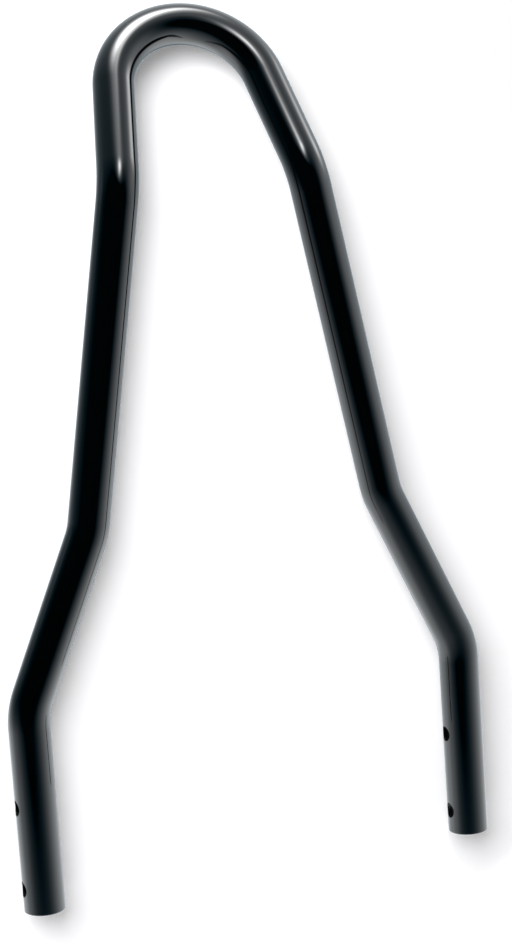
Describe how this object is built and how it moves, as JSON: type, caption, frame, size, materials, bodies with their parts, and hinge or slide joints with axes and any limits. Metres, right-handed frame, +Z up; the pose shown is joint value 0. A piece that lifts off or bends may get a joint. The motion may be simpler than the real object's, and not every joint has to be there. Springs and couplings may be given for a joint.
{
  "type": "sissy bar",
  "caption": "Tall narrow loop of round steel tube for the back of a motorbike seat, kicked back at the top, with cross-drilled legs for bolts.",
  "frame": {"origin": "midway between the two legs, halfway between the axes of the lower and upper bolts", "axes": "+X along the bolts, to the bar's right seen from the front; +Y to the rear, the way the top kicks back; +Z up along the legs"},
  "size_m": [0.2722, 0.0686, 0.4723],
  "materials": {
    "black_coat": "gloss black powder coat"
  },
  "bodies": {
    "root": {"bent_tube": "black_coat"}
  },
  "joints": []
}
